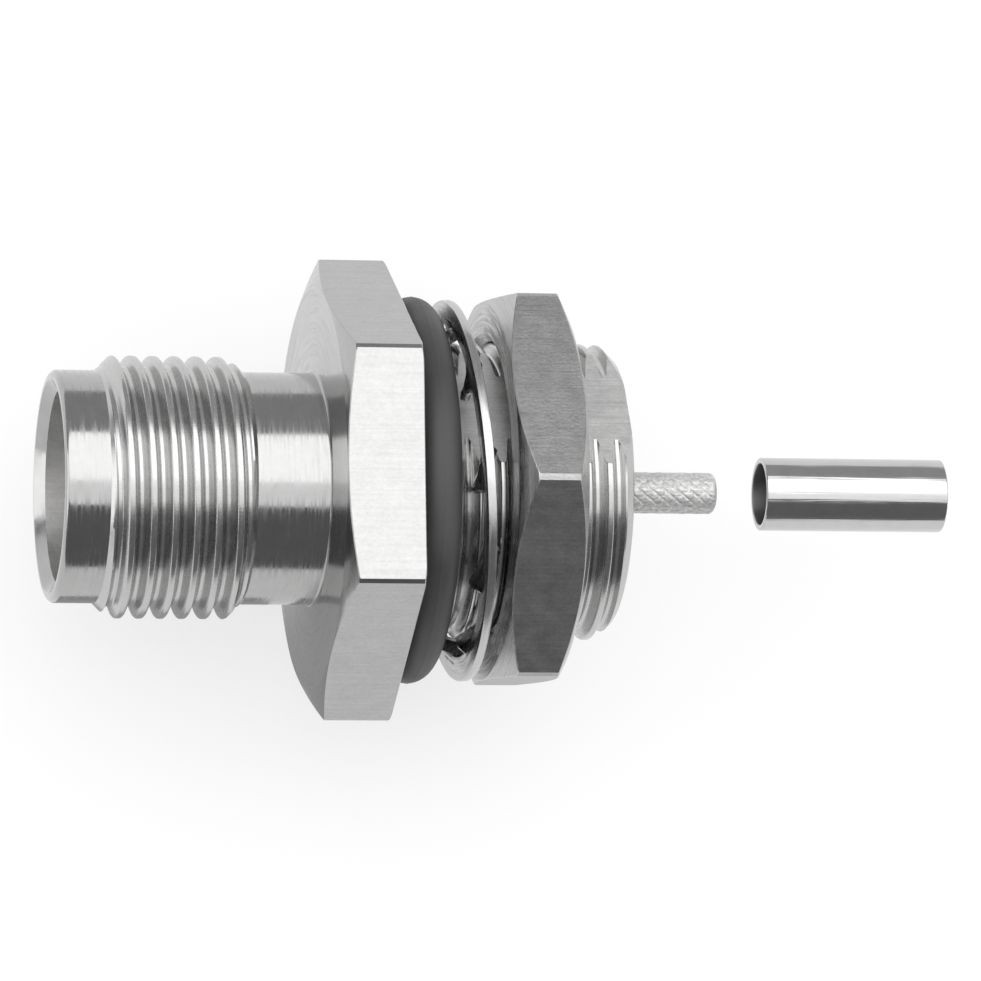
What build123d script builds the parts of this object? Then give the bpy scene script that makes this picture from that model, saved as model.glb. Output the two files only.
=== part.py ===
from build123d import *
import math
import os

# Threaded coaxial bulkhead jack for a thin crimped cable. The axis is X, the mouth faces -X,
# and X = 0 is the flange's panel face. All sizes are in millimetres.

# Mating end
sleeve_d = 9.75
sleeve_length = 11.11
sleeve_wall = 0.815
lip_bevel = 0.18
socket_depth = 8.4
mouth_chamfer = 0.42
coupling_crest_d = 11.0
coupling_setback = 1.88
coupling_length = 6.15

# Ridges of both threads, shown as rings
thread_pitch = 0.907
thread_depth = 0.5
crest_flat = 0.113

# Hexagonal flange
flange_across_flats = 17.0
flange_thickness = 3.25
flange_face_d = 16.9
flange_rear_d = 19.2
flange_chamfer_angle = 18.0

# Rear barrel with its milled flat
barrel_crest_d = 12.5
barrel_length = 9.41
barrel_end_chamfer = 0.58
barrel_grooves = 1
flat_to_axis = 5.5
flat_angle = 32.0

# Insulators
shoulder_web = 0.9
boss_d = 4.76
boss_recess = 3.2
boss_chamfer = 0.3
insulator_d = 6.96
front_insulator_length = 8.26
rear_insulator_length = 1.2
seat_gap = 0.02

# Centre contact
contact_d = 2.1
contact_recess = 0.1
pin_socket_d = 1.37
pin_socket_depth = 4.4
pin_lead_in = 0.18
slot_width = 0.2
slot_length = 3.4
collar_d = 3.2
collar_length = 0.6
tail_length = 1.8
solder_cup_d = 0.6
solder_cup_depth = 1.5

# Crimp stem, pressed into the back of the body
stem_seat_d = 9.2
stem_end_recess = 0.45
stem_pocket_d = 5.2
stem_pocket_depth = 2.3
stem_d = 1.75
stem_length = 4.69
stem_bore_d = 0.95
stem_tip_chamfer = 0.18
stem_root_bevel = 0.3

# Sealing ring
ring_cord_d = 1.78
ring_cord_sides = 8
ring_slack = 0.12

# Internal-tooth lock washer, lying loose and a little askew
washer_thickness = 0.4
washer_rim_width = 1.05
tooth_count = 10
tooth_width = 1.9
tooth_reach = 0.58
tooth_twist = 27.0
tooth_gap = 0.17
washer_setback = 1.04
washer_tilt = 3.3

# Hexagonal nut
nut_across_flats = 16.0
nut_thickness = 2.97
nut_face_d = 15.95
nut_chamfer_angle = 27.0
nut_turn = 33.6
nut_setback = 1.21
nut_thread_gap = 0.05
nut_countersink = 0.35

# Crimp ferrule, drawn back off the stem
ferrule_bore_d = 2.6
ferrule_wall = 0.25
ferrule_length = 7.9
ferrule_drawn_back = 2.0
ferrule_edge = 0.07

# Places along the axis
mouth_x = -flange_thickness - sleeve_length
thread_front_x = mouth_x + coupling_setback
thread_rear_x = thread_front_x + coupling_length
shoulder_x = mouth_x + socket_depth
web_x = shoulder_x + shoulder_web
boss_x = mouth_x + boss_recess
split_x = web_x + front_insulator_length
seat_x = split_x + rear_insulator_length
barrel_end_x = barrel_length
stem_end_x = barrel_end_x + stem_length
washer_x = ring_cord_d + washer_setback
nut_x = washer_x + nut_setback
ferrule_x = stem_end_x + ferrule_drawn_back


def turned(*points):
    """A solid turned about the X axis from its half section, given as (x, radius) points."""
    return revolve(make_face(Polyline(*points, close=True)), Axis.X)


def rod(radius, start, end):
    """A plain round bar on the axis."""
    return turned((start, 0), (end, 0), (end, radius), (start, radius))


def ridges(first_crest_x, count, crest_r):
    """Half section of a thread's ridges, one pitch apart, each with a narrow flat on its crest."""
    points = []
    for number in range(count):
        crest_x = first_crest_x + number * thread_pitch
        if number:
            points.append((crest_x - thread_pitch / 2, crest_r - thread_depth))
        points += [(crest_x - crest_flat / 2, crest_r), (crest_x + crest_flat / 2, crest_r)]
    return points


def hexagon_bar(across_flats, start, end, turn, front_face_d, rear_face_d, chamfer_angle):
    """A hexagon bar whose two ends are chamfered by cones, so each flat ends in two arcs."""
    outline = RegularPolygon(across_flats / 2, 6, major_radius=False, rotation=turn)
    bar = extrude(Plane.YZ.offset(start) * outline, end - start)
    slope = math.tan(math.radians(chamfer_angle))
    reach = across_flats
    front_r, rear_r = front_face_d / 2, rear_face_d / 2
    middle = (start + end) / 2
    front_knee = min(front_r + (middle - start) / slope, reach)
    rear_knee = min(rear_r + (end - middle) / slope, reach)
    envelope = turned(
        (start, 0), (start, front_r), (start + (front_knee - front_r) * slope, front_knee),
        (end - (rear_knee - rear_r) * slope, rear_knee), (end, rear_r), (end, 0))
    return bar & envelope


def make_connector_body():
    """Sleeve, coupling thread, shank, flange and rear barrel, turned, bored and milled from bar."""
    sleeve_r, socket_r = sleeve_d / 2, sleeve_d / 2 - sleeve_wall
    crest_r, barrel_r = coupling_crest_d / 2, barrel_crest_d / 2
    run_in = crest_r - sleeve_r
    insulator_r = insulator_d / 2 + seat_gap
    boss_hole_r = boss_d / 2 + seat_gap
    seat_r = stem_seat_d / 2
    last_crest_x = barrel_end_x - barrel_end_chamfer - crest_flat / 2
    coupling_crests = int((coupling_length - 2 * run_in) / thread_pitch) + 1
    bar = turned(
        (mouth_x, 0), (mouth_x, sleeve_r - lip_bevel), (mouth_x + lip_bevel, sleeve_r),
        (thread_front_x, sleeve_r),
        *ridges(thread_front_x + run_in, coupling_crests, crest_r),
        (thread_rear_x, sleeve_r), (0, sleeve_r), (0, barrel_r),
        *ridges(last_crest_x - barrel_grooves * thread_pitch, barrel_grooves + 1, barrel_r)[1:],
        (barrel_end_x, barrel_r - barrel_end_chamfer), (barrel_end_x, 0))
    bar += hexagon_bar(flange_across_flats, -flange_thickness, 0, 0,
                       flange_face_d, flange_rear_d, flange_chamfer_angle)
    bores = turned(
        (mouth_x, 0), (mouth_x, socket_r + mouth_chamfer), (mouth_x + mouth_chamfer, socket_r),
        (shoulder_x, socket_r), (shoulder_x, boss_hole_r), (web_x, boss_hole_r),
        (web_x, insulator_r), (seat_x, insulator_r), (seat_x, seat_r), (barrel_end_x, seat_r),
        (barrel_end_x, 0))
    milled_away = Box(barrel_length, barrel_crest_d, barrel_crest_d,
                      align=(Align.MIN, Align.CENTER, Align.MIN))
    return bar - bores - Rot(-flat_angle, 0, 0) * Pos(0, 0, flat_to_axis) * milled_away


def make_front_insulator():
    """Turned dielectric: its boss stands in the mating socket, its body fills the bore behind."""
    boss_r, contact_r = boss_d / 2, contact_d / 2 + seat_gap
    return turned(
        (boss_x, contact_r), (boss_x, boss_r - boss_chamfer), (boss_x + boss_chamfer, boss_r),
        (web_x + seat_gap, boss_r), (web_x + seat_gap, insulator_d / 2),
        (split_x, insulator_d / 2), (split_x, contact_r))


def make_rear_insulator():
    """Dielectric bead behind the contact's collar, which it holds against the front insulator."""
    contact_r, collar_r = contact_d / 2 + seat_gap, collar_d / 2 + seat_gap
    start, floor, end = split_x + seat_gap, split_x + collar_length + 2 * seat_gap, seat_x - seat_gap
    return turned(
        (start, collar_r), (start, insulator_d / 2), (end, insulator_d / 2), (end, contact_r),
        (floor, contact_r), (floor, collar_r))


def make_centre_contact():
    """Gold-plated socket with four spring fingers, a captive collar and a solder cup."""
    outer_r, bore_r, cup_r = contact_d / 2, pin_socket_d / 2, solder_cup_d / 2
    tip_x = boss_x + contact_recess
    collar_x = split_x + seat_gap
    tail_x = collar_x + collar_length + tail_length
    tip_r = bore_r + pin_lead_in
    contact = turned(
        (tip_x, tip_r), (tip_x + outer_r - tip_r, outer_r), (collar_x, outer_r),
        (collar_x, collar_d / 2), (collar_x + collar_length, collar_d / 2),
        (collar_x + collar_length, outer_r), (tail_x, outer_r), (tail_x, cup_r),
        (tail_x - solder_cup_depth, cup_r), (tail_x - solder_cup_depth, 0),
        (tip_x + pin_socket_depth, 0), (tip_x + pin_socket_depth, bore_r),
        (tip_x + pin_lead_in, bore_r))
    slot = Box(slot_length, 2 * contact_d, slot_width, align=(Align.MIN, Align.CENTER, Align.CENTER))
    for turn in (0, 90):
        contact -= Pos(tip_x, 0, 0) * Rot(45 + turn, 0, 0) * slot
    return contact


def make_crimp_stem():
    """Bush pressed into the back of the body, with the thin tube that goes under the braid."""
    bush_x = seat_x + seat_gap
    back_x = barrel_end_x - stem_end_recess
    bore_r, stem_r = stem_bore_d / 2, stem_d / 2
    return turned(
        (bush_x, stem_pocket_d / 2), (bush_x, stem_seat_d / 2), (back_x, stem_seat_d / 2),
        (back_x, stem_r + stem_root_bevel), (back_x + stem_root_bevel, stem_r),
        (stem_end_x - stem_tip_chamfer, stem_r), (stem_end_x, stem_r - stem_tip_chamfer),
        (stem_end_x, bore_r), (bush_x + stem_pocket_depth, bore_r),
        (bush_x + stem_pocket_depth, stem_pocket_d / 2))


def make_sealing_ring():
    """Rubber ring of round cord, lying against the flange's panel face. Its section has flats."""
    cord_r = ring_cord_d / 2
    centre_r = barrel_crest_d / 2 + ring_slack + cord_r
    half_side_turn = 180 / ring_cord_sides
    section = RegularPolygon(cord_r, ring_cord_sides, major_radius=False, rotation=half_side_turn)
    return revolve(Pos(cord_r, centre_r) * section, Axis.X)


def make_lock_washer():
    """Spring-steel ring with inward teeth, each twisted about its own radial line."""
    tip_r = barrel_crest_d / 2 + tooth_gap
    rim_r = tip_r + tooth_reach
    outer_r = rim_r + washer_rim_width
    half = washer_thickness / 2
    washer = turned((-half, rim_r), (half, rim_r), (half, outer_r), (-half, outer_r))
    root_bite = washer_rim_width / 3
    blank = Box(washer_thickness, tooth_width, rim_r + root_bite - tip_r + tooth_gap,
                align=(Align.CENTER, Align.CENTER, Align.MIN))
    tooth = Pos(0, 0, tip_r - tooth_gap) * Rot(0, 0, tooth_twist) * blank
    teeth = [Rot(360 / tooth_count * number, 0, 0) * tooth for number in range(tooth_count)]
    washer = washer + teeth
    washer -= rod(tip_r, -tooth_width, tooth_width)
    return Pos(washer_x, 0, 0) * Rot(0, 0, washer_tilt) * washer


def make_hex_nut():
    """Hexagonal nut, chamfered on both faces, with a countersunk thread."""
    end_x = nut_x + nut_thickness
    bore_r = barrel_crest_d / 2 + nut_thread_gap
    sink_r = bore_r + nut_countersink
    nut = hexagon_bar(nut_across_flats, nut_x, end_x, nut_turn,
                      nut_face_d, nut_face_d, nut_chamfer_angle)
    return nut - turned(
        (nut_x, 0), (nut_x, sink_r), (nut_x + nut_countersink, bore_r),
        (end_x - nut_countersink, bore_r), (end_x, sink_r), (end_x, 0))


def make_crimp_ferrule():
    """Plain drawn tube that is slid over the stem and the braid, then crimped."""
    inner_r = ferrule_bore_d / 2
    outer_r = inner_r + ferrule_wall
    start, end = ferrule_x, ferrule_x + ferrule_length
    return turned(
        (start, inner_r + ferrule_edge), (start, outer_r - ferrule_edge),
        (start + ferrule_edge, outer_r), (end - ferrule_edge, outer_r),
        (end, outer_r - ferrule_edge), (end, inner_r + ferrule_edge),
        (end - ferrule_edge, inner_r), (start + ferrule_edge, inner_r))


makers = {
    "connector_body": make_connector_body,
    "front_insulator": make_front_insulator,
    "rear_insulator": make_rear_insulator,
    "centre_contact": make_centre_contact,
    "crimp_stem": make_crimp_stem,
    "sealing_ring": make_sealing_ring,
    "lock_washer": make_lock_washer,
    "hex_nut": make_hex_nut,
    "crimp_ferrule": make_crimp_ferrule,
}

os.makedirs("parts", exist_ok=True)
for name, make in makers.items():
    export_step(make(), f"parts/{name}.step")
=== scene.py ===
import math

import bmesh
import bpy
import numpy as np
from mathutils import Matrix, Vector


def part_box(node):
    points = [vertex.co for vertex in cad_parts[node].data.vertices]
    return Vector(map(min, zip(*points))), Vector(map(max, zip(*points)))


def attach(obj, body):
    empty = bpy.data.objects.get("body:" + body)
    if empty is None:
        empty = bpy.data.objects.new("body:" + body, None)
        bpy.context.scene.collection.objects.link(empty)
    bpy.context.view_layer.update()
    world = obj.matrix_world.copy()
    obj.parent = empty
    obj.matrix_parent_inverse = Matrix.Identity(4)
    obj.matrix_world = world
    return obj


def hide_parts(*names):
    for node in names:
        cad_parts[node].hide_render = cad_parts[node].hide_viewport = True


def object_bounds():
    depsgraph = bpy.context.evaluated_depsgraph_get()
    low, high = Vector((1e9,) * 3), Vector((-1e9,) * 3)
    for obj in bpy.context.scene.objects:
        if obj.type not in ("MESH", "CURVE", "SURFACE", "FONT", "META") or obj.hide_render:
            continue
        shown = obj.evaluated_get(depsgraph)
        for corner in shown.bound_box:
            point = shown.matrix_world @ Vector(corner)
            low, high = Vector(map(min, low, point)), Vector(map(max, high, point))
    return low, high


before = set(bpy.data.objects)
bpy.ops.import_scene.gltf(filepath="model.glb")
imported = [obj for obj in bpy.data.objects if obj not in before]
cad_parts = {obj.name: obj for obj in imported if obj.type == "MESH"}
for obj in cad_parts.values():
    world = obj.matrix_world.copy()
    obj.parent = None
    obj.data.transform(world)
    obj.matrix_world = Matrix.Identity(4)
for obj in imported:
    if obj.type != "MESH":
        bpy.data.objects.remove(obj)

cad_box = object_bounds()

# Camera
# A long lens looks down on the connector as it lies on the table, from a little towards its mouth, so
# that its axis runs across the picture. The picture is square.
camera_swing, camera_dip, camera_roll = (math.radians(angle) for angle in (11.5323, 7.5104, -0.6438))
camera_distance = 0.33882
camera_lens, camera_sensor = 295.29, 36.0
aim_along, aim_across = 0.004352, -0.000023

towards_camera = Vector((-math.sin(camera_swing), -math.cos(camera_swing) * math.sin(camera_dip),
                         math.cos(camera_swing) * math.cos(camera_dip)))
level_right = (Vector((1, 0, 0)) - towards_camera.x * towards_camera).normalized()
level_up = towards_camera.cross(level_right)
picture_right = math.cos(camera_roll) * level_right - math.sin(camera_roll) * level_up
picture_up = math.sin(camera_roll) * level_right + math.cos(camera_roll) * level_up
aim = aim_along * picture_right + aim_across * picture_up

camera = bpy.data.objects.new("camera", bpy.data.cameras.new("camera"))
camera.data.lens = camera_lens
camera.data.sensor_width = camera_sensor
camera.matrix_world = (Matrix.Translation(aim + camera_distance * towards_camera)
                       @ Matrix((picture_right, picture_up, towards_camera)).transposed().to_4x4())
bpy.context.scene.collection.objects.link(camera)
bpy.context.scene.camera = camera
bpy.context.scene.view_settings.view_transform = "Standard"

# Studio
# White paper under and around the connector, one long softbox beyond the camera, and cards that only
# show in bright metal: two long grey ones as dark bands, a grey one on the paper in the flange's face as
# a painted shadow of the connector, and lit ones beside the softbox and in the mouth's chamfer.
# Nothing here is part of the connector.
room_light = 1.0
white, paper_colour = (1, 1, 1, 1), (0.84, 0.84, 0.84, 1)
paper_share = 0.68
floor_half, card_lift = 1.5, 0.0002
softbox_radiance = 1.24
softbox_from, softbox_to = math.radians(-1), math.radians(47)
softbox_distance, softbox_length = 0.40, 1.2
near_card = {"ends": ((-0.6, -0.200), (0.6, -0.200)), "top": 0.430, "light": 0.17}
far_card = {"ends": ((-0.45, 0.065), (0.45, 0.065)), "top": 0.0605, "light": 0.41}
mouth_card = {"ends": ((-0.20, -0.075), (-0.20, 0.130)), "top": 0.065, "light": 2.0}
edge_card = {"y": (-0.190, -0.007), "z": 0.41, "half_length": 0.6, "light": 1.42}
# A grey sheet on the paper beside the flange that only its face mirrors: painted shadow of the connector.
painted_shadow_card = {"corners": ((-0.0135, -0.0115), (-0.0036, -0.0115), (-0.0036, -0.0022), (-0.0135, -0.0035)),
            "light": 0.41}


def add_node(tree, kind, *links, **settings):
    """A new node with its settings made and its inputs linked or filled, as (input, socket or value)."""
    node = tree.nodes.new(kind)
    for name, value in settings.items():
        setattr(node, name, value)
    for place, source in links:
        if isinstance(source, bpy.types.NodeSocket):
            tree.links.new(source, node.inputs[place])
        else:
            node.inputs[place].default_value = source
    return node


def seen_directly(tree):
    """1 for what the camera, bright metal or clear plastic sees, and 0 for what lights a matt surface."""
    path = add_node(tree, "ShaderNodeLightPath")
    either = add_node(tree, "ShaderNodeMath", (0, path.outputs["Is Camera Ray"]),
                      (1, path.outputs["Is Glossy Ray"]), operation="ADD")
    return add_node(tree, "ShaderNodeMath", (0, either.outputs[0]),
                    (1, path.outputs["Is Transmission Ray"]), operation="ADD", use_clamp=True).outputs[0]


world = bpy.data.worlds.new("white room")
world.use_nodes = True
bpy.context.scene.world = world
world.node_tree.nodes.clear()
matt_light = add_node(world.node_tree, "ShaderNodeBackground", ("Color", white), ("Strength", room_light))
seen_light = add_node(world.node_tree, "ShaderNodeBackground", ("Color", white), ("Strength", 1.0))
room = add_node(world.node_tree, "ShaderNodeMixShader", ("Fac", seen_directly(world.node_tree)),
                (1, matt_light.outputs[0]), (2, seen_light.outputs[0]))
add_node(world.node_tree, "ShaderNodeOutputWorld", ("Surface", room.outputs[0]))

paper = bpy.data.materials.new("white_paper")
paper.use_nodes = True
paper.node_tree.nodes.clear()
matt_paper = add_node(paper.node_tree, "ShaderNodeBsdfDiffuse", ("Color", paper_colour))
lit_paper = add_node(paper.node_tree, "ShaderNodeEmission", ("Color", white), ("Strength", 1.0))
paper_mix = add_node(paper.node_tree, "ShaderNodeMath", (0, seen_directly(paper.node_tree)),
                     (1, paper_share), operation="MULTIPLY")
paper_shader = add_node(paper.node_tree, "ShaderNodeMixShader", ("Fac", paper_mix.outputs[0]),
                        (1, matt_paper.outputs[0]), (2, lit_paper.outputs[0]))
add_node(paper.node_tree, "ShaderNodeOutputMaterial", ("Surface", paper_shader.outputs[0]))


def studio_sheet(name, corners, material):
    """A plain four-cornered sheet of the studio."""
    mesh = bpy.data.meshes.new(name)
    mesh.from_pydata(corners, [], [(0, 1, 2, 3)])
    mesh.materials.append(material)
    sheet = bpy.data.objects.new(name, mesh)
    bpy.context.scene.collection.objects.link(sheet)
    return sheet


floor_z = cad_box[0].z
studio_sheet("floor", [(-floor_half, -floor_half, floor_z), (floor_half, -floor_half, floor_z),
                       (floor_half, floor_half, floor_z), (-floor_half, floor_half, floor_z)], paper)


def grey_card(name, corners, light):
    """A sheet of even light that bright metal mirrors, and nothing else sees."""
    card_material = bpy.data.materials.new(name)
    card_material.use_nodes = True
    card_material.node_tree.nodes.clear()
    glow = add_node(card_material.node_tree, "ShaderNodeEmission", ("Strength", light))
    add_node(card_material.node_tree, "ShaderNodeOutputMaterial", ("Surface", glow.outputs[0]))
    sheet = studio_sheet(name, corners, card_material)
    sheet.visible_camera = False
    sheet.visible_diffuse = False
    sheet.visible_shadow = False


for name, card in (("near_card", near_card), ("far_card", far_card), ("mouth_card", mouth_card)):
    start, end = card["ends"]
    grey_card(name, [(*start, floor_z), (*end, floor_z), (*end, card["top"]), (*start, card["top"])],
              card["light"])
near_y, far_y = edge_card["y"]
reach, height = edge_card["half_length"], edge_card["z"]
grey_card("edge_card", [(-reach, near_y, height), (reach, near_y, height), (reach, far_y, height),
                        (-reach, far_y, height)], edge_card["light"])
grey_card("painted_shadow_card", [(*corner, floor_z + card_lift) for corner in painted_shadow_card["corners"]],
          painted_shadow_card["light"])

softbox_middle = (softbox_from + softbox_to) / 2
softbox_width = 2 * softbox_distance * math.tan((softbox_to - softbox_from) / 2)
softbox = bpy.data.lights.new("softbox", "AREA")
softbox.shape = "RECTANGLE"
softbox.size, softbox.size_y = softbox_length, softbox_width
softbox.energy = softbox_radiance * math.pi * softbox_length * softbox_width
softbox_object = bpy.data.objects.new("softbox", softbox)
softbox_object.location = softbox_distance * Vector((0, math.sin(softbox_middle), math.cos(softbox_middle)))
softbox_object.rotation_euler = (-softbox_middle, 0, 0)
softbox_object.visible_camera = False
bpy.context.scene.collection.objects.link(softbox_object)

# Connector body
# One piece of brass bar, turned, bored, threaded at both ends and milled to a hexagon with a flat on
# the rear thread, then plated with bright nickel. The other pieces of the jack sit in it or on it.
mm = 0.001
body_low, body_high = (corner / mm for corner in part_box("connector_body"))
mouth_x, barrel_end_x = body_low.x, body_high.x
sleeve_r, lip_round = 4.875, 0.25
socket_r, mouth_chamfer = 4.06, 0.42
shoulder_x, boss_hole_r, web_x, insulator_r = -5.96, 2.4, -5.06, 3.5
coupling_from, coupling_to = -12.48, -6.33
coupling_crest_r, coupling_crest_at = 5.5, -11.02
barrel_from, barrel_crest_r, barrel_crest_at = 0.6, 6.25, 8.95
thread_pitch, thread_depth, rows_per_pitch = 25.4 / 28, 0.5, 16
barrel_end_chamfer = 0.58
seat_x, seat_r, seat_lead_in = 4.4, 4.6, 0.25
flange_x, flange_half = -3.25, 8.5
flange_face_r, flange_rear_r, flange_chamfer_angle = 8.45, 9.6, math.radians(18)
flange_root_round = 0.13
flat_to_axis, flat_turn = 5.5, math.radians(58)
broken_edge, flange_corner_break = 0.035, math.radians(0.6)
column_count, flats_after_ring = 240, 3
milled_flat_finish, bore_finish, thread_finish = 1.0, 0.8, 0.3
smooth_limit = math.radians(27)


def ring_columns(count, first_corner=None, corner_break=0.0):
    """Angles round the axis from +Y towards +Z. A hexagon's corners get a narrow facet each."""
    if first_corner is None:
        return np.arange(count) * 2 * math.pi / count
    inside = np.arange(1, count // 6) * 2 * math.pi / count
    side = np.r_[corner_break, inside, math.pi / 3 - corner_break]
    return (first_corner + np.arange(6)[:, None] * math.pi / 3 + side).ravel()


def turned_mesh(name, columns, rows, tags=()):
    """A closed shell from rings of (x, radius, seam). seam is how many rows further on the last column
    joins the first: 0 on a plain ring, a pitch on a thread. tags are (first row, last row, milled) for
    the faces between those rows, where milled is how much of their finish is milled and not turned."""
    count = len(columns)
    points = np.empty((len(rows), count, 3))
    for index, (x, radius, seam) in enumerate(rows):
        points[index, :, 0] = x
        points[index, :, 1] = radius * np.cos(columns)
        points[index, :, 2] = radius * np.sin(columns)
    faces = []
    for row in range(len(rows)):
        after = (row + 1) % len(rows)
        for column in range(count):
            last = column == count - 1
            here = (row + rows[row][2] * last) * count
            there = (after + rows[after][2] * last) * count
            beside = (column + 1) % count
            faces.append((row * count + column, here + beside, there + beside, after * count + column))
    mesh = bpy.data.meshes.new(name)
    mesh.from_pydata((points.reshape(-1, 3) * mm).tolist(), [], faces)
    row_of_face = np.repeat(np.arange(len(rows)), count)
    values = np.zeros(len(faces), np.float32)
    for first, last, milled in tags:
        values[(row_of_face >= first) & (row_of_face < last)] = milled
    mesh.attributes.new("milled", "FLOAT", "FACE").data.foreach_set("value", values)
    return closed_mesh(mesh)


def closed_mesh(mesh):
    """Merges what meets, points the faces outwards and shades all but the real edges smooth."""
    shell = bmesh.new()
    shell.from_mesh(mesh)
    bmesh.ops.remove_doubles(shell, verts=shell.verts, dist=2e-7)
    bmesh.ops.dissolve_degenerate(shell, edges=shell.edges, dist=1e-8)
    bmesh.ops.recalc_face_normals(shell, faces=shell.faces)
    shell.to_mesh(mesh)
    shell.free()
    mesh.polygons.foreach_set("use_smooth", [True] * len(mesh.polygons))
    mesh.set_sharp_from_angle(angle=smooth_limit)
    return mesh


def plain_rows(*points):
    """Rings for plain turned faces, given as (x, radius)."""
    return [(x, radius, 0) for x, radius in points]


def arc_points(x, radius, size, start, end, steps):
    """Points of a rounded edge, as (x, radius), between two angles given in degrees."""
    return [(x + size * math.cos(angle), radius + size * math.sin(angle))
            for angle in np.radians(np.linspace(start, end, steps + 1))]


def thread_radius(along, crest_r, depth):
    """Radius of a rounded thread at a distance along the axis from one of its crests."""
    from_crest = np.abs((along / thread_pitch + 0.5) % 1 - 0.5)
    crest_half, root_half, rounding = 0.085, 0.07, 0.75
    share = np.clip((from_crest - crest_half) / (0.5 - crest_half - root_half), 0, 1)
    return crest_r - depth * (share - rounding * np.sin(2 * math.pi * share) / (2 * math.pi))


def thread_rows(columns, start, end, crest_r, crest_at, depth, front_cone, rear_cone):
    """Rings of a right-handed thread that follow its helix, cut off by a cone at each end. A cone is
    (radius at the thread's end, growth per length). Rings lie closer where the profile bends."""
    fine, even_share = np.linspace(0, 1, 2001), 0.7
    bend = np.abs(np.diff(np.arctan(np.gradient(thread_radius(fine * thread_pitch, 0, depth),
                                                fine * thread_pitch))))
    share = np.r_[0, np.cumsum(bend / bend.sum() + even_share / len(bend))]
    steps = np.interp(np.arange(rows_per_pitch) / rows_per_pitch * share[-1], share, fine) * thread_pitch
    lean = thread_pitch * columns / (2 * math.pi)
    first = math.floor((start - lean[0] - crest_at) / thread_pitch) - 1
    total = (math.ceil((end - lean[0] - crest_at) / thread_pitch) - first) * rows_per_pitch
    rows = []
    for index in range(total + 1):
        pitches, step = divmod(index, rows_per_pitch)
        x = np.clip(crest_at + (first + pitches) * thread_pitch + steps[step] + lean, start, end)
        radius = thread_radius(x - lean - crest_at, crest_r, depth)
        radius = np.minimum(radius, front_cone[0] + (x - start) * front_cone[1])
        radius = np.minimum(radius, rear_cone[0] + (end - x) * rear_cone[1])
        rows.append((x, radius, min(rows_per_pitch, total - index)))
    return rows


def hexagon_rows(columns, first_corner, half, start, end, front_r, rear_r, chamfer_angle):
    """Rings of a hexagon between two faces, its corners chamfered by a cone at each end. The first and
    the last ring keep the faces' shading flat up to the chamfer."""
    from_flat = (columns - first_corner) % (math.pi / 3) - math.pi / 6
    radius = half / np.cos(from_flat)
    slope = math.tan(chamfer_angle)
    front_cut = np.maximum(radius - front_r, 0) * slope
    rear_cut = np.maximum(radius - rear_r, 0) * slope
    edge = radius - broken_edge
    front_rim, rear_rim = np.minimum(front_r, edge), np.minimum(rear_r, edge)
    return [
        (start, front_rim - 2 * broken_edge, 0),
        (start, front_rim, 0),
        (start + np.maximum(front_cut - broken_edge * slope, 0), edge, 0),
        (start + front_cut + broken_edge, radius, 0),
        (end - rear_cut - broken_edge, radius, 0),
        (end - np.maximum(rear_cut - broken_edge * slope, 0), edge, 0),
        (end, rear_rim, 0),
        (end, rear_rim - 2 * broken_edge, 0),
    ]


def object_from(name, mesh):
    """An object at the origin that shows a mesh."""
    piece = bpy.data.objects.new(name, mesh)
    bpy.context.scene.collection.objects.link(piece)
    return piece


def baked(piece):
    """The piece's own mesh with its modifiers worked in, and the modifiers taken off."""
    evaluated = piece.evaluated_get(bpy.context.evaluated_depsgraph_get())
    mesh = bpy.data.meshes.new_from_object(evaluated)
    piece.modifiers.clear()
    piece.data = mesh
    return piece


def outline_milling(mesh):
    """Makes the outline of every milled face a real edge, also where it leaves a thread at a low angle."""
    shell = bmesh.new()
    shell.from_mesh(mesh)
    milled = shell.faces.layers.float["milled"]
    for edge in shell.edges:
        if len({face[milled] == milled_flat_finish for face in edge.link_faces}) == 2:
            edge.smooth = False
    shell.to_mesh(mesh)
    shell.free()


def spread(tree, noise, low, high):
    """A noise with its usual range, from 0.3 to 0.7, drawn out to run from low to high."""
    return add_node(tree, "ShaderNodeMapRange", ("Value", noise), ("From Min", 0.3), ("From Max", 0.7),
                    ("To Min", low), ("To Max", high)).outputs[0]


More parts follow.
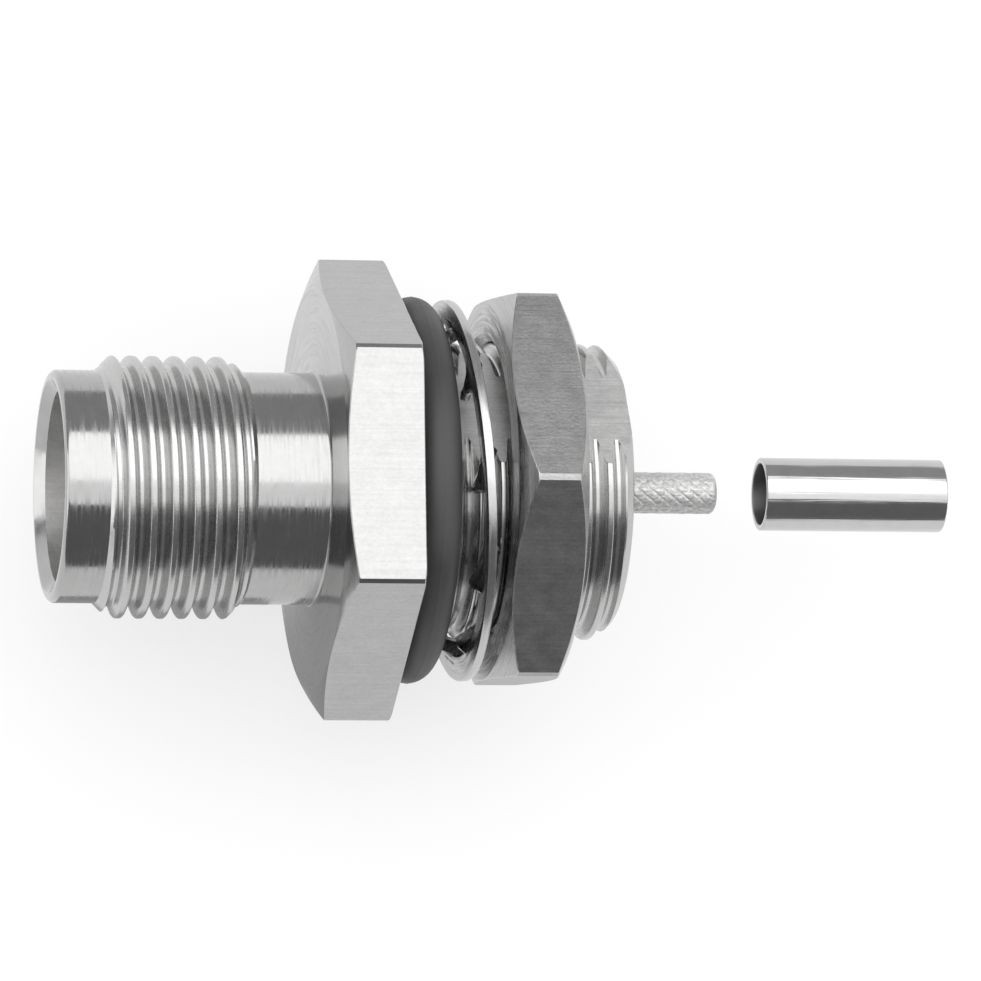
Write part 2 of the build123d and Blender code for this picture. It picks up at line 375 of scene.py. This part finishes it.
def metal(name, greys, roughnesses, ripple, milling, mottle=0.0, grain=0.0, tint=(1, 1, 0.994)):
    """Plated metal. Turned faces have fine rings round the axis, and faces tagged milled have tool
    marks along it, with pits where mottle and streaks where grain are above nothing. greys and
    roughnesses are for the turned and the milled faces. ripple, milling and mottle are in metres."""
    (turned_grey, milled_grey), (turned_roughness, milled_roughness) = greys, roughnesses
    ring_slant = 0.7
    material = bpy.data.materials.new(name)
    material.use_nodes = True
    tree = material.node_tree
    shader = tree.nodes["Principled BSDF"]
    shader.inputs["Metallic"].default_value = 1.0
    place = add_node(tree, "ShaderNodeTexCoord").outputs["Object"]
    milled = add_node(tree, "ShaderNodeAttribute", attribute_name="milled").outputs["Fac"]

    def calculated(operation, one, other=0.0):
        return add_node(tree, "ShaderNodeMath", (0, one), (1, other), operation=operation).outputs[0]

    def marks(at, scale, detail):
        stretched = add_node(tree, "ShaderNodeMapping", ("Vector", at), ("Scale", scale))
        return add_node(tree, "ShaderNodeTexNoise", ("Vector", stretched.outputs[0]), ("Scale", 1.0),
                        ("Detail", detail), ("Roughness", 0.6)).outputs["Fac"]

    def by_finish(on_turned, on_milled):
        return add_node(tree, "ShaderNodeMix", ("Factor", milled), ("A", on_turned), ("B", on_milled),
                        data_type="FLOAT").outputs[0]

    along, across, up = add_node(tree, "ShaderNodeSeparateXYZ", (0, place)).outputs
    from_axis = calculated("SQRT", calculated("ADD", calculated("MULTIPLY", across, across),
                                              calculated("MULTIPLY", up, up)))
    # Rings follow the way along the axis and the way out from it, so that end faces have them too.
    along_and_out = calculated("ADD", along, calculated("MULTIPLY", from_axis, ring_slant))
    turned_place = add_node(tree, "ShaderNodeCombineXYZ", (0, along_and_out),
                            (1, calculated("DIVIDE", across, from_axis)),
                            (2, calculated("DIVIDE", up, from_axis))).outputs[0]
    rings = marks(turned_place, (9000, 3, 3), 2.0)
    strokes = marks(place, (160, 9000, 9000), 2.0)
    clouds = marks(place, (1500, 1500, 1500), 3.0)
    specks = marks(place, (7000, 9000, 9000), 1.0)

    milled_height = calculated("ADD", calculated("MULTIPLY", strokes, milling),
                               calculated("MULTIPLY", specks, mottle))
    height = by_finish(calculated("MULTIPLY", rings, ripple), milled_height)
    bump = add_node(tree, "ShaderNodeBump", ("Height", height), ("Distance", 1.0), ("Strength", 1.0))
    tree.links.new(bump.outputs[0], shader.inputs["Normal"])

    ringed_roughness = calculated("ADD", spread(tree, rings, -0.08, 0.12), turned_roughness)
    roughness = calculated("MULTIPLY", by_finish(ringed_roughness, milled_roughness),
                           spread(tree, clouds, 0.9, 1.12))
    tree.links.new(roughness, shader.inputs["Roughness"])

    streaks = calculated("MULTIPLY", calculated("SUBTRACT", calculated("ADD", strokes, specks), 1.0), milled)
    tone = calculated("ADD", spread(tree, clouds, 0.96, 1.03), calculated("MULTIPLY", streaks, grain))
    grey = calculated("MULTIPLY", by_finish(turned_grey, milled_grey), tone)
    shade = add_node(tree, "ShaderNodeMix", ("Factor", grey), ("A", (0, 0, 0, 1)), ("B", (*tint, 1)),
                     data_type="RGBA")
    tree.links.new(shade.outputs["Result"], shader.inputs["Base Color"])
    return material


body_columns = ring_columns(column_count, 0.0, flange_corner_break)
mouth_rows = plain_rows((mouth_x, socket_r + mouth_chamfer))
mouth_rows += plain_rows(*arc_points(mouth_x + lip_round, sleeve_r - lip_round, lip_round, 180, 90, 6))
coupling_rows = thread_rows(body_columns, coupling_from, coupling_to, coupling_crest_r, coupling_crest_at,
                            thread_depth, (sleeve_r, 1.0), (sleeve_r, 1.0))
shank_rows = plain_rows(*arc_points(flange_x - flange_root_round, sleeve_r + flange_root_round,
                                    flange_root_round, -90, 0, 4))
flange_rows = hexagon_rows(body_columns, 0.0, flange_half, flange_x, 0.0, flange_face_r, flange_rear_r,
                           flange_chamfer_angle)
barrel_root_r = barrel_crest_r - thread_depth
barrel_rows = plain_rows((0.0, barrel_root_r)) + thread_rows(
    body_columns, barrel_from, barrel_end_x - broken_edge, barrel_crest_r, barrel_crest_at, thread_depth,
    (barrel_root_r, 0.8), (barrel_crest_r - barrel_end_chamfer + broken_edge, 1.0))
bore_rows = plain_rows(
    (barrel_end_x, barrel_crest_r - barrel_end_chamfer - broken_edge),
    (barrel_end_x, seat_r + seat_lead_in), (barrel_end_x - seat_lead_in, seat_r), (seat_x, seat_r),
    (seat_x, insulator_r), (web_x, insulator_r))
socket_rows = plain_rows((web_x, boss_hole_r), (shoulder_x, boss_hole_r), (shoulder_x, socket_r),
                         (mouth_x + mouth_chamfer, socket_r))
body_rows = mouth_rows + coupling_rows + shank_rows + flange_rows + barrel_rows + bore_rows + socket_rows
flats_row = len(mouth_rows + coupling_rows + shank_rows) + flats_after_ring
barrel_row = len(body_rows) - len(barrel_rows + bore_rows + socket_rows)
jack_body = object_from("jack_body", turned_mesh("jack_body", body_columns, body_rows, [
    (len(mouth_rows), len(mouth_rows + coupling_rows) - 1, thread_finish),
    (flats_row, flats_row + 1, milled_flat_finish),
    (barrel_row + 1, barrel_row + len(barrel_rows) - 1, thread_finish),
    (len(body_rows) - len(socket_rows), len(body_rows) - 1, bore_finish)]))

cutter_reach, cutter_width, cutter_overrun = 3.0, 16.0, 1.0
cutter_mesh = bpy.data.meshes.new("milling_cutter")
cutter_corners = [(x, y, z) for x in (0.0, barrel_end_x + cutter_overrun)
                  for y in (-cutter_width / 2, cutter_width / 2)
                  for z in (flat_to_axis, flat_to_axis + cutter_reach)]
cutter_mesh.from_pydata(cutter_corners, [], [(0, 1, 3, 2), (4, 6, 7, 5), (0, 4, 5, 1), (2, 3, 7, 6),
                                             (0, 2, 6, 4), (1, 5, 7, 3)])
cutter_mesh.transform(Matrix.Rotation(flat_turn - math.pi / 2, 4, "X") @ Matrix.Scale(mm, 4))
cutter_tag = cutter_mesh.attributes.new("milled", "FLOAT", "FACE")
cutter_tag.data.foreach_set("value", [milled_flat_finish] * 6)
cutter = object_from("milling_cutter", cutter_mesh)
milling = jack_body.modifiers.new("flat", "BOOLEAN")
milling.object, milling.operation, milling.solver = cutter, "DIFFERENCE", "EXACT"
baked(jack_body)
bpy.data.objects.remove(cutter)
jack_body.data.set_sharp_from_angle(angle=smooth_limit)
outline_milling(jack_body.data)
jack_body.data.materials.clear()
jack_body.data.materials.append(metal(
    "bright_nickel", greys=(0.41, 0.74), roughnesses=(0.15, 0.43),
    ripple=2.5e-6, milling=7.0e-6, grain=0.3))
jack_body.data.materials.append(metal(
    "milled_hexagon", greys=(0.41, 0.41), roughnesses=(0.15, 0.17),
    ripple=2.5e-6, milling=2.0e-6, grain=0.2))
near_flats, end_face_tilt = 0.95 * flange_half, 0.1
for face in jack_body.data.polygons:
    on_hexagon = flange_x < face.center.x / mm < 0 and math.hypot(*face.center.yz) / mm > near_flats
    face.material_index = int(on_hexagon and abs(face.normal.x) < end_face_tilt)
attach(jack_body, "jack")
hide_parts("connector_body")

# Front insulator
# Turned from white fluoropolymer. Its boss stands in the mating socket round the contact, and its
# wider back is pressed into the bore behind the body's web.
boss_x, boss_r, boss_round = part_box("front_insulator")[0].x / mm, 2.38, 0.3
insulator_end_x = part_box("front_insulator")[1].x / mm
contact_hole_r, hole_lead_in, insulator_half, insulator_start_x = 1.07, 0.1, 3.48, -5.04


def waxy(name, colour):
    """White fluoropolymer: soft sheen, light passes a little way in, faint rings from turning."""
    material = bpy.data.materials.new(name)
    material.use_nodes = True
    tree = material.node_tree
    shader = tree.nodes["Principled BSDF"]
    shader.inputs["Subsurface Weight"].default_value = 0.25
    shader.inputs["Subsurface Radius"].default_value = (1.0, 1.0, 0.9)
    shader.inputs["Subsurface Scale"].default_value = 0.0006
    place = add_node(tree, "ShaderNodeTexCoord").outputs["Object"]
    stretched = add_node(tree, "ShaderNodeMapping", ("Vector", place), ("Scale", (9000, 900, 900)))
    rings = add_node(tree, "ShaderNodeTexNoise", ("Vector", stretched.outputs[0]), ("Scale", 1.0),
                     ("Detail", 2.0)).outputs["Fac"]
    bump = add_node(tree, "ShaderNodeBump", ("Height", rings), ("Distance", 3e-6), ("Strength", 1.0))
    tree.links.new(bump.outputs[0], shader.inputs["Normal"])
    tree.links.new(spread(tree, rings, 0.34, 0.5), shader.inputs["Roughness"])
    groove_colour = (*(channel * 0.97 for channel in colour), 1)
    shade = add_node(tree, "ShaderNodeMix", ("Factor", rings), ("A", groove_colour), ("B", (*colour, 1)),
                     data_type="RGBA")
    tree.links.new(shade.outputs["Result"], shader.inputs["Base Color"])
    return material


fluoropolymer = waxy("white_fluoropolymer", (0.88, 0.88, 0.86))
front_dielectric = object_from("front_dielectric", turned_mesh(
    "front_dielectric", ring_columns(120), plain_rows(
        (boss_x, contact_hole_r + hole_lead_in),
        *arc_points(boss_x + boss_round, boss_r - boss_round, boss_round, 180, 90, 5),
        (insulator_start_x, boss_r), (insulator_start_x, insulator_half),
        (insulator_end_x, insulator_half), (insulator_end_x, contact_hole_r),
        (boss_x + hole_lead_in, contact_hole_r))))
front_dielectric.data.materials.append(fluoropolymer)
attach(front_dielectric, "jack")
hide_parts("front_insulator")

# Rear insulator
# A small bead of the same plastic behind the contact's collar. It is shut in by the crimp stem, and
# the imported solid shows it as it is.
rear_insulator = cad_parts["rear_insulator"]
rear_insulator.data.materials.clear()
rear_insulator.data.materials.append(fluoropolymer)

# Centre contact
# Spring bronze with gold plate: four slotted fingers that take the plug's pin, a collar that holds it
# between the insulators, and a solder cup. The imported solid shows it, with its slots cut.
gold = metal("gold_over_bronze", greys=(1.0, 1.0), roughnesses=(0.16, 0.2), ripple=0.5e-6, milling=0.5e-6,
             tint=(0.80, 0.57, 0.24))
centre_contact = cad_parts["centre_contact"]
centre_contact.data.materials.clear()
centre_contact.data.materials.append(gold)

# Sealing ring
# A moulded rubber ring of round cord that lies against the flange, with the fine line that the mould
# leaves round its outside and inside.
ring_low, ring_high = (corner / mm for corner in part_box("sealing_ring"))
cord_r = (ring_high.x - ring_low.x) / 2
ring_r = ring_high.z - cord_r
mould_line, mould_line_at, mould_line_half, cord_step = 0.012, (90, 270), 3, 9

line_edges = [at + side for at in mould_line_at for side in (-mould_line_half, mould_line_half)]
ring_rows = []
for degrees in sorted({*range(0, 360, cord_step), *line_edges}):
    around = math.radians(degrees)
    proud = cord_r + mould_line * (degrees in mould_line_at)
    ring_rows.append((ring_low.x + cord_r - proud * math.cos(around), ring_r + proud * math.sin(around), 0))
rubber_ring = object_from("rubber_ring", turned_mesh("rubber_ring", ring_columns(180), ring_rows))
rubber = bpy.data.materials.new("black_rubber")
rubber.use_nodes = True
rubber_tree = rubber.node_tree
rubber_shader = rubber_tree.nodes["Principled BSDF"]
rubber_place = add_node(rubber_tree, "ShaderNodeTexCoord").outputs["Object"]
rubber_grain = add_node(rubber_tree, "ShaderNodeTexNoise", ("Vector", rubber_place), ("Scale", 5000.0),
                        ("Detail", 3.0)).outputs["Fac"]
rubber_clouds = add_node(rubber_tree, "ShaderNodeTexNoise", ("Vector", rubber_place), ("Scale", 420.0),
                         ("Detail", 3.0)).outputs["Fac"]
rubber_bump = add_node(rubber_tree, "ShaderNodeBump", ("Height", rubber_grain), ("Distance", 6e-6),
                       ("Strength", 1.0))
rubber_tree.links.new(rubber_bump.outputs[0], rubber_shader.inputs["Normal"])
rubber_tree.links.new(spread(rubber_tree, rubber_clouds, 0.42, 0.6), rubber_shader.inputs["Roughness"])
rubber_shade = add_node(rubber_tree, "ShaderNodeMix", ("Factor", rubber_clouds),
                        ("A", (0.030, 0.030, 0.031, 1)), ("B", (0.055, 0.055, 0.056, 1)), data_type="RGBA")
rubber_tree.links.new(rubber_shade.outputs["Result"], rubber_shader.inputs["Base Color"])
rubber_ring.data.materials.append(rubber)
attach(rubber_ring, "jack")
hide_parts("sealing_ring")

# Lock washer
# A spring-steel ring with ten teeth on its inner edge, stamped, twisted, hardened and plated. It
# lies loose on the thread and leans, and goes along the barrel with the nut.
washer_x, washer_lean = 2.82, math.radians(3.3)
washer_outer_r, washer_rim_r, washer_tip_r = 8.05, 7.0, 6.42
washer_thickness, tooth_width, tooth_twist, tooth_count = 0.4, 2.0, math.radians(27), 10
tooth_turn, stamped_round = math.radians(18), 0.1
tooth_root_share, twist_from, twist_to = 0.33, 0.15, 0.62
rim_steps, tooth_steps = 180, 9


def geometry_tree(name, inputs):
    """A geometry node tree with a geometry in, a geometry out and the named inputs."""
    tree = bpy.data.node_groups.new(name, "GeometryNodeTree")
    tree.interface.new_socket("Geometry", in_out="INPUT", socket_type="NodeSocketGeometry")
    for label, kind in inputs:
        tree.interface.new_socket(label, in_out="INPUT", socket_type=kind)
    tree.interface.new_socket("Geometry", in_out="OUTPUT", socket_type="NodeSocketGeometry")
    return tree, add_node(tree, "NodeGroupInput"), add_node(tree, "NodeGroupOutput")


def grow(piece, tree, values):
    """Puts a geometry node tree on a piece, fills its named inputs and works its result into the mesh."""
    modifier = piece.modifiers.new(tree.name, "NODES")
    modifier.node_group = tree
    for item in tree.interface.items_tree:
        if item.item_type == "SOCKET" and item.in_out == "INPUT" and item.name in values:
            modifier[item.identifier] = values[item.name]
    return baked(piece)


tree, given, result = geometry_tree("toothed_ring", [
    ("Tooth Count", "NodeSocketInt"), ("Outer Radius", "NodeSocketFloat"), ("Rim Radius", "NodeSocketFloat"),
    ("Tip Radius", "NodeSocketFloat"), ("Thickness", "NodeSocketFloat"), ("Tooth Width", "NodeSocketFloat"),
    ("Twist", "NodeSocketFloat"), ("Edge Round", "NodeSocketFloat"), ("First Tooth", "NodeSocketFloat"),
    ("Lean", "NodeSocketFloat"), ("Place", "NodeSocketFloat"), ("Material", "NodeSocketMaterial")])


def node_math(operation, one, other=0.0):
    """A sum worked out in the geometry node tree that is being built."""
    return add_node(tree, "ShaderNodeMath", (0, one), (1, other), operation=operation).outputs[0]


def vector_of(x=0.0, y=0.0, z=0.0):
    """A vector put together in the geometry node tree that is being built."""
    return add_node(tree, "ShaderNodeCombineXYZ", (0, x), (1, y), (2, z)).outputs[0]


def rounded_strip(width, height):
    """The section of stamped sheet, its edges rounded."""
    strip = add_node(tree, "GeometryNodeCurvePrimitiveQuadrilateral", ("Width", width), ("Height", height))
    return add_node(tree, "GeometryNodeFilletCurve", ("Curve", strip.outputs[0]),
                    ("Radius", given.outputs["Edge Round"]), ("Count", 2), mode="POLY").outputs[0]


rim_width = node_math("SUBTRACT", given.outputs["Outer Radius"], given.outputs["Rim Radius"])
rim_middle = node_math("ADD", given.outputs["Rim Radius"], node_math("MULTIPLY", rim_width, 0.5))
rim_path = add_node(tree, "GeometryNodeCurvePrimitiveCircle", ("Resolution", rim_steps),
                    ("Radius", rim_middle))
rim = add_node(tree, "GeometryNodeCurveToMesh", ("Curve", rim_path.outputs[0]),
               ("Profile Curve", rounded_strip(rim_width, given.outputs["Thickness"])))
tooth_root = node_math("ADD", given.outputs["Rim Radius"],
                       node_math("MULTIPLY", rim_width, tooth_root_share))
tooth_line = add_node(tree, "GeometryNodeCurvePrimitiveLine", ("Start", vector_of(tooth_root)),
                      ("End", vector_of(given.outputs["Tip Radius"])))
tooth_path = add_node(tree, "GeometryNodeResampleCurve", ("Curve", tooth_line.outputs[0]),
                      ("Count", tooth_steps))
along_tooth = add_node(tree, "GeometryNodeSplineParameter").outputs["Factor"]
twist_share = add_node(tree, "ShaderNodeMapRange", ("Value", along_tooth), ("From Min", twist_from),
                       ("From Max", twist_to), ("To Min", 0.0), ("To Max", 1.0),
                       interpolation_type="SMOOTHSTEP").outputs[0]
twisted = add_node(tree, "GeometryNodeSetCurveTilt", ("Curve", tooth_path.outputs[0]),
                   ("Tilt", node_math("MULTIPLY", twist_share, given.outputs["Twist"])))
tooth = add_node(tree, "GeometryNodeCurveToMesh", ("Curve", twisted.outputs[0]),
                 ("Profile Curve", rounded_strip(given.outputs["Tooth Width"], given.outputs["Thickness"])),
                 ("Fill Caps", True))
hubs = add_node(tree, "GeometryNodePoints", ("Count", given.outputs["Tooth Count"]))
tooth_turns = node_math("DIVIDE", add_node(tree, "GeometryNodeInputIndex").outputs[0],
                        given.outputs["Tooth Count"])
teeth = add_node(tree, "GeometryNodeInstanceOnPoints", ("Points", hubs.outputs[0]),
                 ("Instance", tooth.outputs[0]),
                 ("Rotation", vector_of(z=node_math("ADD", given.outputs["First Tooth"],
                                                    node_math("MULTIPLY", tooth_turns, 2 * math.pi)))))
loose_teeth = add_node(tree, "GeometryNodeRealizeInstances", ("Geometry", teeth.outputs[0]))
stamping = add_node(tree, "GeometryNodeJoinGeometry", ("Geometry", rim.outputs[0]))
tree.links.new(loose_teeth.outputs[0], stamping.inputs["Geometry"])
stood_up = add_node(tree, "GeometryNodeTransform", ("Geometry", stamping.outputs[0]),
                    ("Rotation", (math.pi / 2, 0, math.pi / 2)))
leaning = add_node(tree, "GeometryNodeTransform", ("Geometry", stood_up.outputs[0]),
                   ("Rotation", vector_of(z=given.outputs["Lean"])),
                   ("Translation", vector_of(given.outputs["Place"])))
whole = add_node(tree, "GeometryNodeRealizeInstances", ("Geometry", leaning.outputs[0]))
dressed = add_node(tree, "GeometryNodeSetMaterial", ("Geometry", whole.outputs[0]),
                   ("Material", given.outputs["Material"]))
tree.links.new(dressed.outputs[0], result.inputs[0])

tooth_washer = object_from("tooth_washer", bpy.data.meshes.new("tooth_washer"))
grow(tooth_washer, tree, {
    "Tooth Count": tooth_count, "Outer Radius": washer_outer_r * mm, "Rim Radius": washer_rim_r * mm,
    "Tip Radius": washer_tip_r * mm, "Thickness": washer_thickness * mm, "Tooth Width": tooth_width * mm,
    "Twist": tooth_twist, "Edge Round": stamped_round * mm, "First Tooth": tooth_turn,
    "Lean": washer_lean, "Place": washer_x * mm,
    "Material": metal("bright_spring_steel", greys=(0.52, 0.52), roughnesses=(0.26, 0.26),
                      ripple=0.6e-6, milling=0.6e-6)})
closed_mesh(tooth_washer.data)
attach(tooth_washer, "washer")
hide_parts("lock_washer")

# Hexagonal nut
# Cut from hexagon brass bar, chamfered on both faces, tapped and nickel plated. Its flats keep the
# matt skin of the bar. It screws along the barrel behind the lock washer.
nut_low, nut_high = (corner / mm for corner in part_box("hex_nut"))
nut_half, nut_face_r, nut_chamfer_angle = 8.0, 7.975, math.radians(27)
nut_corner, nut_corner_break = math.radians(33.6), math.radians(0.85)
nut_bore_r, nut_thread_depth, nut_countersink = 6.30, 0.48, 0.35
no_cone = (9, 0)

nut_columns = ring_columns(column_count, nut_corner, nut_corner_break)
nut_rows = hexagon_rows(nut_columns, nut_corner, nut_half, nut_low.x, nut_high.x, nut_face_r, nut_face_r,
                        nut_chamfer_angle)
sink_r = nut_bore_r + nut_countersink
nut_thread = thread_rows(nut_columns, nut_low.x, nut_high.x, nut_bore_r, barrel_crest_at,
                         nut_thread_depth, no_cone, no_cone)
nut_thread = [(x, np.maximum(radius, sink_r - np.minimum(x - nut_low.x, nut_high.x - x)), seam)
              for x, radius, seam in nut_thread]
milled_row = len(nut_thread) + flats_after_ring
turned_nut = object_from("turned_nut", turned_mesh(
    "turned_nut", nut_columns, nut_thread + nut_rows[::-1],
    [(milled_row, milled_row + 1, milled_flat_finish)]))
turned_nut.data.materials.append(metal(
    "matt_nickel", greys=(0.48, 0.38), roughnesses=(0.26, 0.38),
    ripple=2.5e-6, milling=3.5e-6, mottle=8.0e-6, grain=0.4))
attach(turned_nut, "nut")
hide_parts("hex_nut")

# Crimp stem
# Turned brass bush, pressed into the back of the body, with the thin tube that goes under the cable's
# braid. Crossed grooves are rolled into the tube so that the braid holds, and it is nickel plated.
stem_low, stem_high = (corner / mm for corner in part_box("crimp_stem"))
bush_r, bush_end_x, pocket_r, pocket_x = 4.598, 8.96, 2.6, 6.72
tube_r, tube_bore_r, tube_root, tube_tip_round = 0.875, 0.475, 0.3, 0.26
knurl_from, knurl_depth, knurl_step = 9.45, 0.034, 0.034
strand_count, strand_lead = 12, 6.6
cut_count, cut_lead, cut_share = 10, -8.0, 0.6
ridge_half, faded_share, inner_share = 0.24, 0.3, 0.8
rolled_finish = 1.0

knurl_to = stem_high.x - tube_tip_round
knurl_rows = np.linspace(knurl_from, knurl_to, round((knurl_to - knurl_from) / knurl_step))
bush_rows = plain_rows(
    (pocket_x, tube_bore_r), (pocket_x, pocket_r),
    (stem_low.x, pocket_r), (stem_low.x, bush_r - broken_edge), (stem_low.x + broken_edge, bush_r),
    (bush_end_x - 2 * broken_edge, bush_r), (bush_end_x, bush_r - 2 * broken_edge),
    *arc_points(bush_end_x + tube_root, tube_r + tube_root, tube_root, -180, -90, 5))
tube_rows = plain_rows(
    *((x, tube_r) for x in knurl_rows),
    *arc_points(knurl_to, tube_r - tube_tip_round, tube_tip_round, 75, 0, 5),
    (stem_high.x, tube_bore_r + broken_edge), (stem_high.x - broken_edge, tube_bore_r))
knurled_stem = object_from("knurled_stem", turned_mesh(
    "knurled_stem", ring_columns(180), bush_rows + tube_rows,
    [(len(bush_rows), len(bush_rows + tube_rows) - 3, rolled_finish)]))

tree, given, result = geometry_tree("rolled_knurl", [
    ("From", "NodeSocketFloat"), ("To", "NodeSocketFloat"), ("Radius", "NodeSocketFloat"),
    ("Depth", "NodeSocketFloat"), ("Strands", "NodeSocketFloat"), ("Strand Lead", "NodeSocketFloat"),
    ("Cuts", "NodeSocketFloat"), ("Cut Lead", "NodeSocketFloat"), ("Cut Share", "NodeSocketFloat"),
    ("Material", "NodeSocketMaterial")])
here = add_node(tree, "ShaderNodeSeparateXYZ", (0, add_node(tree, "GeometryNodeInputPosition").outputs[0]))
turn_share = node_math("DIVIDE", node_math("ARCTAN2", here.outputs[2], here.outputs[1]), 2 * math.pi)
from_axis = node_math("SQRT", node_math("ADD", node_math("POWER", here.outputs[1], 2.0),
                                        node_math("POWER", here.outputs[2], 2.0)))


def groove(count, lead):
    """0 on the ridges and 1 in the grooves of one family of screw lines."""
    along = node_math("DIVIDE", here.outputs[0], lead)
    phase = node_math("MULTIPLY", node_math("SUBTRACT", turn_share, along), count)
    wave = node_math("PINGPONG", phase, 0.5)
    return add_node(tree, "ShaderNodeMapRange", ("Value", wave), ("From Min", ridge_half),
                    ("From Max", 0.5), interpolation_type="SMOOTHSTEP").outputs[0]


strand_groove = groove(given.outputs["Strands"], given.outputs["Strand Lead"])
cut_groove = node_math("MULTIPLY", groove(given.outputs["Cuts"], given.outputs["Cut Lead"]),
                       given.outputs["Cut Share"])
fade_in = add_node(tree, "ShaderNodeMapRange", ("Value", here.outputs[0]),
                   ("From Min", given.outputs["From"]),
                   ("From Max", node_math("ADD", given.outputs["From"], given.outputs["Depth"])))
fade_out = add_node(tree, "ShaderNodeMapRange", ("Value", here.outputs[0]),
                    ("From Min", given.outputs["To"]),
                    ("From Max", node_math("ADD", given.outputs["To"], given.outputs["Depth"])),
                    ("To Min", 1.0), ("To Max", faded_share))
pressed = node_math("MULTIPLY", node_math("MAXIMUM", strand_groove, cut_groove), given.outputs["Depth"])
pressed = node_math("MULTIPLY", pressed, node_math("MULTIPLY", fade_in.outputs[0], fade_out.outputs[0]))
outside = node_math("GREATER_THAN", from_axis, node_math("MULTIPLY", given.outputs["Radius"], inner_share))
on_tube = node_math("GREATER_THAN", here.outputs[0], given.outputs["From"])
inward = node_math("DIVIDE", node_math("MULTIPLY", pressed, node_math("MULTIPLY", outside, on_tube)),
                   node_math("MULTIPLY", from_axis, -1.0))
rolled = add_node(tree, "GeometryNodeSetPosition", ("Geometry", given.outputs["Geometry"]),
                  ("Offset", vector_of(y=node_math("MULTIPLY", here.outputs[1], inward),
                                       z=node_math("MULTIPLY", here.outputs[2], inward))))
whole = add_node(tree, "GeometryNodeRealizeInstances", ("Geometry", rolled.outputs[0]))
dressed = add_node(tree, "GeometryNodeSetMaterial", ("Geometry", whole.outputs[0]),
                   ("Material", given.outputs["Material"]))
tree.links.new(dressed.outputs[0], result.inputs[0])
grow(knurled_stem, tree, {
    "From": knurl_from * mm, "To": knurl_to * mm, "Radius": tube_r * mm, "Depth": knurl_depth * mm,
    "Strands": float(strand_count), "Strand Lead": strand_lead * mm, "Cuts": float(cut_count),
    "Cut Lead": cut_lead * mm, "Cut Share": cut_share,
    "Material": metal("satin_nickel", greys=(0.68, 0.69), roughnesses=(0.55, 0.66),
                      ripple=0.8e-6, milling=3.0e-6, mottle=1.8e-5, grain=0.8)})
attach(knurled_stem, "jack")
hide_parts("crimp_stem")

# Crimp ferrule
# A plain length of drawn soft tube, its edges tumbled and nickel plated. It slides over the braid and
# the stem before it is crimped, and is shown drawn off.
ferrule_low, ferrule_high = (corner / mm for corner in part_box("crimp_ferrule"))
ferrule_r, ferrule_wall, ferrule_edge = ferrule_high.y, 0.25, 0.07
side_margin, side_rings, drawn_finish = 1.0, 9, 1.0

ferrule_bore = ferrule_r - ferrule_wall
side_x = np.linspace(ferrule_low.x + side_margin, ferrule_high.x - side_margin, side_rings)
ferrule_rows = plain_rows(
    *arc_points(ferrule_low.x + ferrule_edge, ferrule_r - ferrule_edge, ferrule_edge, 180, 90, 4),
    *((x, ferrule_r) for x in side_x),
    *arc_points(ferrule_high.x - ferrule_edge, ferrule_r - ferrule_edge, ferrule_edge, 90, 0, 4),
    *arc_points(ferrule_high.x - ferrule_edge, ferrule_bore + ferrule_edge, ferrule_edge, 0, -90, 4),
    *arc_points(ferrule_low.x + ferrule_edge, ferrule_bore + ferrule_edge, ferrule_edge, -90, -180, 4))
drawn_ferrule = object_from("drawn_ferrule", turned_mesh(
    "drawn_ferrule", ring_columns(180), ferrule_rows, [(0, len(ferrule_rows), drawn_finish)]))
drawn_ferrule.data.materials.append(metal(
    "drawn_bright_nickel", greys=(0.53, 0.53), roughnesses=(0.13, 0.15), ripple=0.5e-6, milling=8.0e-6))
# The bore gets a darker grey, which is painted shade inside the tube, and a rougher, duller drawn finish.
drawn_ferrule.data.materials.append(metal(
    "shaded_dull_bore", greys=(0.2, 0.2), roughnesses=(0.5, 0.5), ripple=0.5e-6, milling=2.5e-6))
shaded_bore_within = (ferrule_bore + 0.3 * ferrule_edge) * mm
for face in drawn_ferrule.data.polygons:
    reach = max(math.hypot(*drawn_ferrule.data.vertices[corner].co.yz) for corner in face.vertices)
    face.material_index = int(reach < shaded_bore_within)
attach(drawn_ferrule, "ferrule")
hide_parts("crimp_ferrule")
